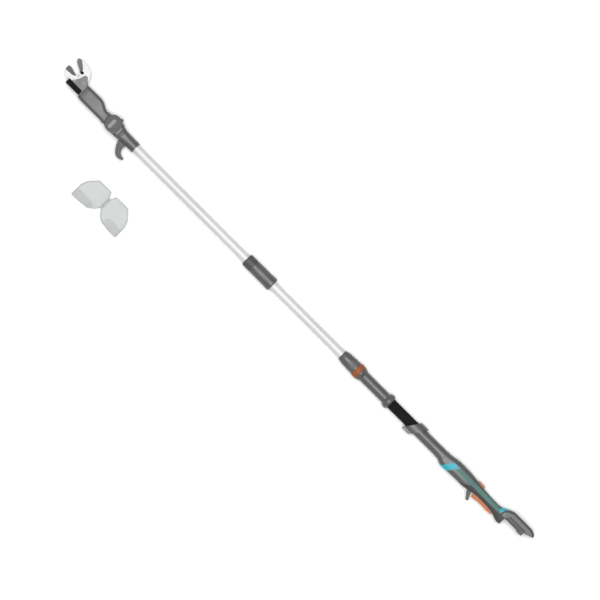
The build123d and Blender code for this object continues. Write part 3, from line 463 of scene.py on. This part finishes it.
# ---- Hand grip: rubber sleeve with fine rings ---------------------------------------
GRIP_LOW, GRIP_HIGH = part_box("soft_grip")
GRIP_R = (GRIP_HIGH.y - GRIP_LOW.y) / 2 / MM
GRIP_REAR, GRIP_FRONT = GRIP_LOW.x / MM, GRIP_HIGH.x / MM
GRIP_BORE = 16.72
GRIP_LIP, GRIP_EASE = 7.0, 0.8
RING_PITCH, RING_DEPTH, RING_STEP = 3.2, 0.45, 0.5


def grip_profile():
    """Rings between two plain lips, with the bore as the last two corners."""
    corners = [(GRIP_REAR, GRIP_R - GRIP_EASE), (GRIP_REAR + GRIP_EASE, GRIP_R)]
    first, last = GRIP_REAR + GRIP_LIP, GRIP_FRONT - GRIP_LIP
    for i in range(int((last - first) / RING_PITCH)):
        x = first + i * RING_PITCH
        corners += [(x, GRIP_R), (x + RING_STEP, GRIP_R - RING_DEPTH),
                    (x + 2 * RING_STEP, GRIP_R - RING_DEPTH), (x + 3 * RING_STEP, GRIP_R)]
    corners += [(GRIP_FRONT - GRIP_EASE, GRIP_R), (GRIP_FRONT, GRIP_R - GRIP_EASE)]
    corners += [(GRIP_FRONT, GRIP_BORE), (GRIP_REAR, GRIP_BORE)]
    return corners


piece("ringed_grip", *lathe(grip_profile()), "soft_black", "handle", "soft_black", ["soft_grip"])

# ---- Lead screw with its thread -----------------------------------------------------
SCREW_LOW, SCREW_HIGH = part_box("lead_screw")
SCREW_DROP = ((SCREW_LOW.y + SCREW_HIGH.y) / 2 - AXIS_Y) / MM
SCREW_SIDES = 32
SCREW_R, THREAD_DEPTH, THREAD_LEAD, THREAD_STARTS = 3.0, 0.55, 4.0, 2
THREAD_FROM, THREAD_TO = 953.0, 1004.0
THREAD_FLANK, THREAD_ROOT = 1.6, 0.3    # flattens the wave's crests and roots
THREAD_RUNOUT = 1.0
THREAD_STATION, PLAIN_STATION = 0.25, 2.0
COLLAR_R, COLLAR_FROM, COLLAR_TO, COLLAR_EDGE = 5.2, 948.4, 952.0, 0.01


def screw_radius(x, turn):
    """Radius at a station and a share of a turn: collar, plain rod or two-start thread."""
    if COLLAR_FROM <= x <= COLLAR_TO:
        return COLLAR_R
    if not THREAD_FROM < x < THREAD_TO:
        return SCREW_R
    wave = 0.5 - 0.5 * math.cos(2 * math.pi * THREAD_STARTS * (turn + x / THREAD_LEAD))
    return SCREW_R - THREAD_DEPTH * min(1.0, max(0.0, THREAD_FLANK * wave - THREAD_ROOT))


def lead_screw():
    """Rod with a collar and a thread between its bearings."""
    x, end = SCREW_LOW.x / MM, SCREW_HIGH.x / MM
    stations = [end, COLLAR_FROM - COLLAR_EDGE, COLLAR_FROM, COLLAR_TO, COLLAR_TO + COLLAR_EDGE]
    while x < end:
        stations.append(x)
        is_thread = THREAD_FROM - THREAD_RUNOUT < x < THREAD_TO + THREAD_RUNOUT
        x += THREAD_STATION if is_thread else PLAIN_STATION
    rows = []
    for x in sorted(stations):
        row = []
        for k in range(SCREW_SIDES):
            radius = screw_radius(x, k / SCREW_SIDES)
            angle = 2 * math.pi * k / SCREW_SIDES
            row.append(place(x, SCREW_DROP + radius * math.cos(angle), radius * math.sin(angle)))
        rows.append(row)
    return skinned(rows)


piece("threaded_lead_screw", *lead_screw(), "fasteners", "lead_screw", "fasteners", ["lead_screw"])

# ---- Trigger spring: a wound wire in place of plain rings ---------------------------
SPRING_LOW, SPRING_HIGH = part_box("trigger_spring")
SPRING_MIDDLE = (SPRING_LOW + SPRING_HIGH) / 2
SPRING_R, WIRE_R = 3.2 * MM, 0.4 * MM
SPRING_TURNS, TURN_STEPS = 3, 24
SPRING_RISE = SPRING_HIGH.z - SPRING_LOW.z - 2 * WIRE_R
coil = []
for i in range(SPRING_TURNS * TURN_STEPS + 1):
    angle = 2 * math.pi * i / TURN_STEPS
    coil.append(Vector((
        SPRING_MIDDLE.x + SPRING_R * math.cos(angle),
        SPRING_MIDDLE.y + SPRING_R * math.sin(angle),
        SPRING_LOW.z + WIRE_R + SPRING_RISE * i / (SPRING_TURNS * TURN_STEPS),
    )))
piece("wound_trigger_spring", *swept(coil, WIRE_R), "fasteners", "handle", "fasteners", ["trigger_spring"])

# ---- Grip inlays: moulded ribs that follow the inlay's surface ----------------------
INLAY_LOW, INLAY_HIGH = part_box("grip_inlays")
RIB_PITCH, RIB_HALF, RIB_HEIGHT, RIB_SINK = 5.0 * MM, 0.9 * MM, 0.45 * MM, 0.5 * MM
RIB_FROM, RIB_TO, RIB_MARGIN = 9 * MM, 12 * MM, 1.6 * MM
RIB_STEPS, RIB_END, RIB_FULLNESS = 9, 0.6, 0.4
# Shares of a rib's half width and height; None is its base, sunk into the inlay.
RIB_SECTION = [(-1, None), (-1, 0.35), (-0.45, 1), (0.45, 1), (1, 0.35), (1, None)]
RAY_START = 0.1             # metres out from the pole's axis


def surface_z(node, x, y, side):
    """Where a straight line in to a CAD node from one side first meets it, or None."""
    start = Vector((x, y, AXIS_Z + side * RAY_START))
    hit, spot, _, _ = frame["nodes"][node].ray_cast(start, Vector((0, 0, -side)))
    return spot.z if hit else None


def inlay_ribs(side):
    """Low rounded ribs across the inlay on one side of the handle."""
    ribs = []
    top, bottom = INLAY_LOW.y + RIB_MARGIN, INLAY_HIGH.y - RIB_MARGIN
    x = INLAY_LOW.x + RIB_FROM
    while x < INLAY_HIGH.x - RIB_TO:
        rows = []
        for i in range(RIB_STEPS):
            y = top + (bottom - top) * i / (RIB_STEPS - 1)
            z = surface_z("grip_inlays", x, y, side)
            if z is None:
                continue
            along = (i + RIB_END) / (RIB_STEPS - 1 + 2 * RIB_END)
            rise = RIB_HEIGHT * math.sin(math.pi * along) ** RIB_FULLNESS
            row = []
            for across, share in RIB_SECTION:
                lift = -RIB_SINK if share is None else rise * share
                row.append(Vector((x + RIB_HALF * across, y, z + side * lift)))
            rows.append(row)
        if rows:
            ribs.append(skinned(rows))
        x += RIB_PITCH
    return joined(ribs)


for label, side in BOTH_SIDES:
    piece(f"inlay_ribs_{label}", *inlay_ribs(side), "petrol_soft", "handle", "petrol_soft")

# ---- Ground cutting edges -----------------------------------------------------------
# How far the cutter goes past the blade's edge and flat, in millimetres.
GRIND_REACH, GRIND_RISE, GRIND_EASE, GRIND_LIP = 2.0, 1.5, 0.6, 0.001
HOLLOW_AT, HOLLOW_DEPTH = 0.45, 0.68    # the hollow's middle, as shares of the width and the depth
GROUND_ANGLE = 12.0
GROUND_SLOPE = (0.80, 0.9995)           # upward parts of the normals that mark the ground faces
GROUND_MARGIN = 0.6


def smooth_line(points, steps=8):
    """Smooth line through the points (Catmull-Rom)."""
    line = []
    last = len(points) - 1
    for i in range(last):
        a, b, c, d = (Vector(points[max(0, min(last, i + k))]) for k in (-1, 0, 1, 2))
        for step in range(steps):
            t = step / steps
            bend = (2 * a - 5 * b + 4 * c - d) * t * t + (3 * b - a - 3 * c + d) * t ** 3
            line.append(0.5 * (2 * b + (c - a) * t + bend))
    line.append(Vector(points[last]))
    return line


def grinding_cutter(edge, widths, top, depth, into):
    """What the grinding takes off: full depth along the edge, nothing at each width in from it."""
    line = smooth_line(edge)
    steps = len(line) - 1
    rows = []
    for i, spot in enumerate(line):
        ahead = (line[min(steps, i + 1)] - line[max(0, i - 1)]).normalized()
        inward = Vector((-ahead.y, ahead.x)) * into
        share = i / steps * (len(widths) - 1)
        low = min(int(share), len(widths) - 2)
        width = widths[low] + (widths[low + 1] - widths[low]) * (share - low)
        outer, inner = spot - inward * GRIND_REACH, spot + inward * width
        section = [
            (outer, top + GRIND_RISE),
            (inner + inward * GRIND_EASE, top + GRIND_RISE),
            (inner, top + GRIND_LIP),
            (spot + inward * width * HOLLOW_AT, top - depth * HOLLOW_DEPTH),
            (outer, top - depth - depth / width * GRIND_REACH),
        ]
        rows.append([place(point.x, point.y, z) for point, z in section])
    return skinned(rows)


def ground(node, name, edge, widths, top, depth, into, ground_look):
    """A copy of a flat blade with a hollow-ground face cut along its edge, in place of the CAD node."""
    cut_away = grinding_cutter(edge, widths, top, depth, into)
    cutter = linked(name + "_cutter", closed_mesh(name + "_cutter", *cut_away))
    thing = welded_copy(node, name)
    cut = thing.modifiers.new("ground", "BOOLEAN")
    cut.operation = "DIFFERENCE"
    cut.solver = "EXACT"
    cut.use_self = True
    cut.object = cutter
    view = bpy.context.evaluated_depsgraph_get()
    view.update()
    result = bpy.data.meshes.new_from_object(thing.evaluated_get(view))
    thing.modifiers.clear()
    thing.data = result
    bpy.data.objects.remove(cutter)
    with edited(result) as shape:
        bmesh.ops.dissolve_degenerate(shape, dist=SLIVER, edges=shape.edges)
    shade(thing, GROUND_ANGLE)
    dress(thing, "blade_steel")
    # The sloped ground faces take the darker look, painted shade.
    result.materials.append(LOOKS[ground_look])
    lowest = AXIS_Z + (top - depth - GROUND_MARGIN) * MM
    for face in result.polygons:
        is_ground = GROUND_SLOPE[0] < face.normal.z < GROUND_SLOPE[1] and face.center.z > lowest
        face.material_index = 1 if is_ground else 0
    stand_in(thing, node)


BLADE_EDGE = [(1057, -70.5), (1050.6, -66), (1037, -56.5), (1024, -50), (1016, -43.5)]
JAW_EDGE = [(1063, -38.2), (1056, -37.6), (1043, -37.0), (1030, -32.8), (1019, -30.5)]
ground("cutting_blade", "ground_blade", BLADE_EDGE,
       widths=[13.0, 16.0, 16.0, 12.0, 5.0], top=3.8, depth=2.8, into=1, ground_look="ground_steel_and_painted_shade")
ground("fixed_jaw", "ground_fixed_jaw", JAW_EDGE,
       widths=[13.0, 17.0, 17.0, 11.0, 3.0], top=0.0, depth=2.6, into=-1, ground_look="fixed_jaw_bevel_painted_shade")

# ---- Black stud on the blade --------------------------------------------------------
BLADE_TOP = (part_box("cutting_blade")[1].z - AXIS_Z) / MM
STUD_AT = (1010.5, -49.3)
STUD = [(0, 0.7), (2.4, 0.7), (2.7, 1.7), (4.8, 1.7), (5.4, 1.1), (5.4, -1.2), (0, -1.2)]
stud_profile = [(radius, BLADE_TOP + height) for radius, height in STUD]
piece("blade_stud", *turned_about_z(STUD_AT, stud_profile), "soft_black", "blade", "soft_black")

# ---- Knuckle bezels: dark ringed discs under the tilt caps --------------------------
PIN_LOW, PIN_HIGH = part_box("tilt_pin")
KNUCKLE = ((PIN_LOW.x + PIN_HIGH.x) / 2 / MM, ((PIN_LOW.y + PIN_HIGH.y) / 2 - AXIS_Y) / MM)
EAR_FACE = (PIN_HIGH.z - AXIS_Z) / MM
BEZEL = [(0, 0.7), (19.0, 0.7), (19.5, 0.25), (20.3, 0.25), (20.8, 0.7), (24.4, 0.7), (25.2, 0.1),
         (25.2, -0.6), (0, -0.6)]
BEZEL_TURNS = 96
for label, side in BOTH_SIDES:
    profile = [(radius, side * (EAR_FACE + height)) for radius, height in BEZEL]
    piece(f"knuckle_bezel_{label}", *turned_about_z(KNUCKLE, profile, BEZEL_TURNS), "casing_dark", "shaft",
          "casing_dark")

# ---- Clamp ring: raised grip bars ---------------------------------------------------
RING_LOW, RING_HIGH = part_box("clamp_ring")
RING_R = (RING_HIGH.y - RING_LOW.y) / 2 / MM
BARS, BAR_HALF, BAR_HEIGHT, BAR_SINK = 30, 0.9, 0.6, 0.5
# Stations along a bar with their share of its height, and its section in the same way as a rib's.
BAR_LENGTH = [(RING_LOW.x / MM + 3, 0.1), (RING_LOW.x / MM + 4, 1.0),
              (RING_HIGH.x / MM - 4, 1.0), (RING_HIGH.x / MM - 3, 0.1)]
BAR_SECTION = [(-1, None), (-0.8, 0.6), (-0.3, 1), (0.3, 1), (0.8, 0.6), (1, None)]
ring_bars = []
for i in range(BARS):
    angle = 2 * math.pi * i / BARS
    rows = []
    for x, rise in BAR_LENGTH:
        row = []
        for share, lift in BAR_SECTION:
            across = BAR_HALF * share
            radius = RING_R + (-BAR_SINK if lift is None else BAR_HEIGHT * rise * lift)
            row.append(place(x, radius * math.cos(angle) - across * math.sin(angle),
                             radius * math.sin(angle) + across * math.cos(angle)))
        rows.append(row)
    ring_bars.append(skinned(rows))
piece("clamp_ring_bars", *joined(ring_bars), "ring_orange", "clamp_nut", "orange")

# ---- Foot inlays: ribbed strips in the grooves --------------------------------------
FOOT_SIDE = 30.0            # half the foot's width
STRIP_FROM, STRIP_TO, STRIP_STATION = -1029.5, -962.5, 0.5
STRIP_TOP, STRIP_BOTTOM, STRIP_EASE = -14.3, -9.1, 0.5
STRIP_BASE, STRIP_FACE, STRIP_ROUND = FOOT_SIDE - 2.0, FOOT_SIDE - 1.1, 0.3
STRIP_RIB, STRIP_PITCH, STRIP_FADE = 0.5, 4.0, 2.0
for label, side in BOTH_SIDES:
    rows = []
    x = STRIP_FROM
    while x <= STRIP_TO:
        fade = min(1.0, (x - STRIP_FROM) / STRIP_FADE, (STRIP_TO - x) / STRIP_FADE)
        height = STRIP_FACE + STRIP_RIB * fade * (0.5 + 0.5 * math.cos(2 * math.pi * x / STRIP_PITCH))
        section = [
            (STRIP_TOP, STRIP_BASE), (STRIP_TOP, height - STRIP_ROUND),
            (STRIP_TOP + STRIP_EASE, height), (STRIP_BOTTOM - STRIP_EASE, height),
            (STRIP_BOTTOM, height - STRIP_ROUND), (STRIP_BOTTOM, STRIP_BASE),
        ]
        rows.append([place(x, y, side * z) for y, z in section])
        x += STRIP_STATION
    piece(f"foot_inlay_{label}", *skinned(rows), "casing_dark", "handle", "casing_dark")

# ---- Guard: a flap on the floor of each half ----------------------------------------
HINGE_LOW, HINGE_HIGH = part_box("guard_pin")
HINGE_X = (HINGE_LOW.x + HINGE_HIGH.x) / 2 / MM
UNDERSIDE = -30.0           # the guard lies on the floor, this far under the pole's axis
FLAP_TOP, FLAP_LOW, FLAP_EASE = UNDERSIDE + 3.4, UNDERSIDE + 2.0, 0.4
FLAP_TAPER, FLAP_MIDDLE_Y = 0.995, 235
FLAPS = {
    "a": [(29, 222), (92, 221), (94, 226), (94.5, 246.5), (66, 246), (36, 242.5), (24, 236)],
    "b": [(-38, 226), (-44, 220), (-78, 219), (-86, 222), (-94.5, 222), (-95.5, 246.5), (-66, 246),
          (-36, 242.5)],
}
for label, corners in FLAPS.items():
    inner = [(x * FLAP_TAPER, y + (FLAP_EASE if y < FLAP_MIDDLE_Y else -FLAP_EASE)) for x, y in corners]
    layers = [(corners, FLAP_LOW), (corners, FLAP_TOP - FLAP_EASE), (inner, FLAP_TOP)]
    rows = [[place(HINGE_X + x, y, z) for x, y in outline] for outline, z in layers]
    piece(f"guard_flap_{label}", *skinned(rows), "guard_flap", f"guard_{label}", "guard_clear")

# ---- Stage, light and camera --------------------------------------------------------
FLOOR_HALF, FLOOR_GAP = 7.0, 0.0002
FLOOR_Z = CAD_LOW[2] - FLOOR_GAP
PAPER_COLOUR, PAPER_ROUGHNESS, PAPER_SHINE = (0.95, 0.95, 0.95, 1), 0.9, 0.1
WORLD_COLOUR, WORLD_STRENGTH = (1, 1, 1, 1), 0.28
FLOOR_CORNERS = [(x * FLOOR_HALF, y * FLOOR_HALF, FLOOR_Z) for x, y in ((-1, -1), (1, -1), (1, 1), (-1, 1))]
floor_mesh = bpy.data.meshes.new("floor")
floor_mesh.from_pydata(FLOOR_CORNERS, [], [(0, 1, 2, 3)])
floor = linked("floor", floor_mesh)
paper = bpy.data.materials.new("floor_paper")
paper.use_nodes = True
paper_shader = paper.node_tree.nodes["Principled BSDF"]
paper_shader.inputs["Base Color"].default_value = PAPER_COLOUR
paper_shader.inputs["Roughness"].default_value = PAPER_ROUGHNESS
paper_shader.inputs["Specular IOR Level"].default_value = PAPER_SHINE
floor.data.materials.append(paper)
floor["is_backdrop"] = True


def soft_light(name, spot, aim, size, power):
    """Square area light pointing at a spot."""
    lamp = bpy.data.lights.new(name, "AREA")
    lamp.shape = "SQUARE"
    lamp.size = size
    lamp.energy = power
    thing = linked(name, lamp)
    thing.location = spot
    thing.rotation_euler = (Vector(aim) - Vector(spot)).to_track_quat("-Z", "Y").to_euler()


soft_light("top_light", spot=(0.0, -0.4, 13.0), aim=(0, 0, 0), size=7.0, power=1650.0)
soft_light("side_light", spot=(-3.0, 5.0, 4.0), aim=(0, 0, 0), size=3.0, power=40.0)
world = bpy.data.worlds.new("studio")
bpy.context.scene.world = world
world.use_nodes = True
background = world.node_tree.nodes["Background"]
background.inputs["Color"].default_value = WORLD_COLOUR
background.inputs["Strength"].default_value = WORLD_STRENGTH

scene = bpy.context.scene
scene.view_settings.view_transform = "Standard"
FRAME_WIDTH = 1.92          # metres across the picture, on a level just over the pole's axis
FRAME_LEVEL = AXIS_Z + 0.012
CAMERA_AT = (0.0030, -0.1149, 10.0)
SENSOR = 36.0
CLIP_END = 60.0
lens = bpy.data.cameras.new("camera")
lens.type = "PERSP"
lens.sensor_width = SENSOR
lens.lens = SENSOR * (CAMERA_AT[2] - FRAME_LEVEL) / FRAME_WIDTH
lens.clip_end = CLIP_END
camera = linked("camera", lens)
# Straight down, with the tool's length on the picture's diagonal.
DIAGONAL = math.sqrt(0.5)
camera.matrix_world = Matrix((
    (-DIAGONAL, DIAGONAL, 0, CAMERA_AT[0]),
    (-DIAGONAL, -DIAGONAL, 0, CAMERA_AT[1]),
    (0, 0, 1, CAMERA_AT[2]),
    (0, 0, 0, 1),
))
scene.camera = camera

bpy.context.view_layer.update()
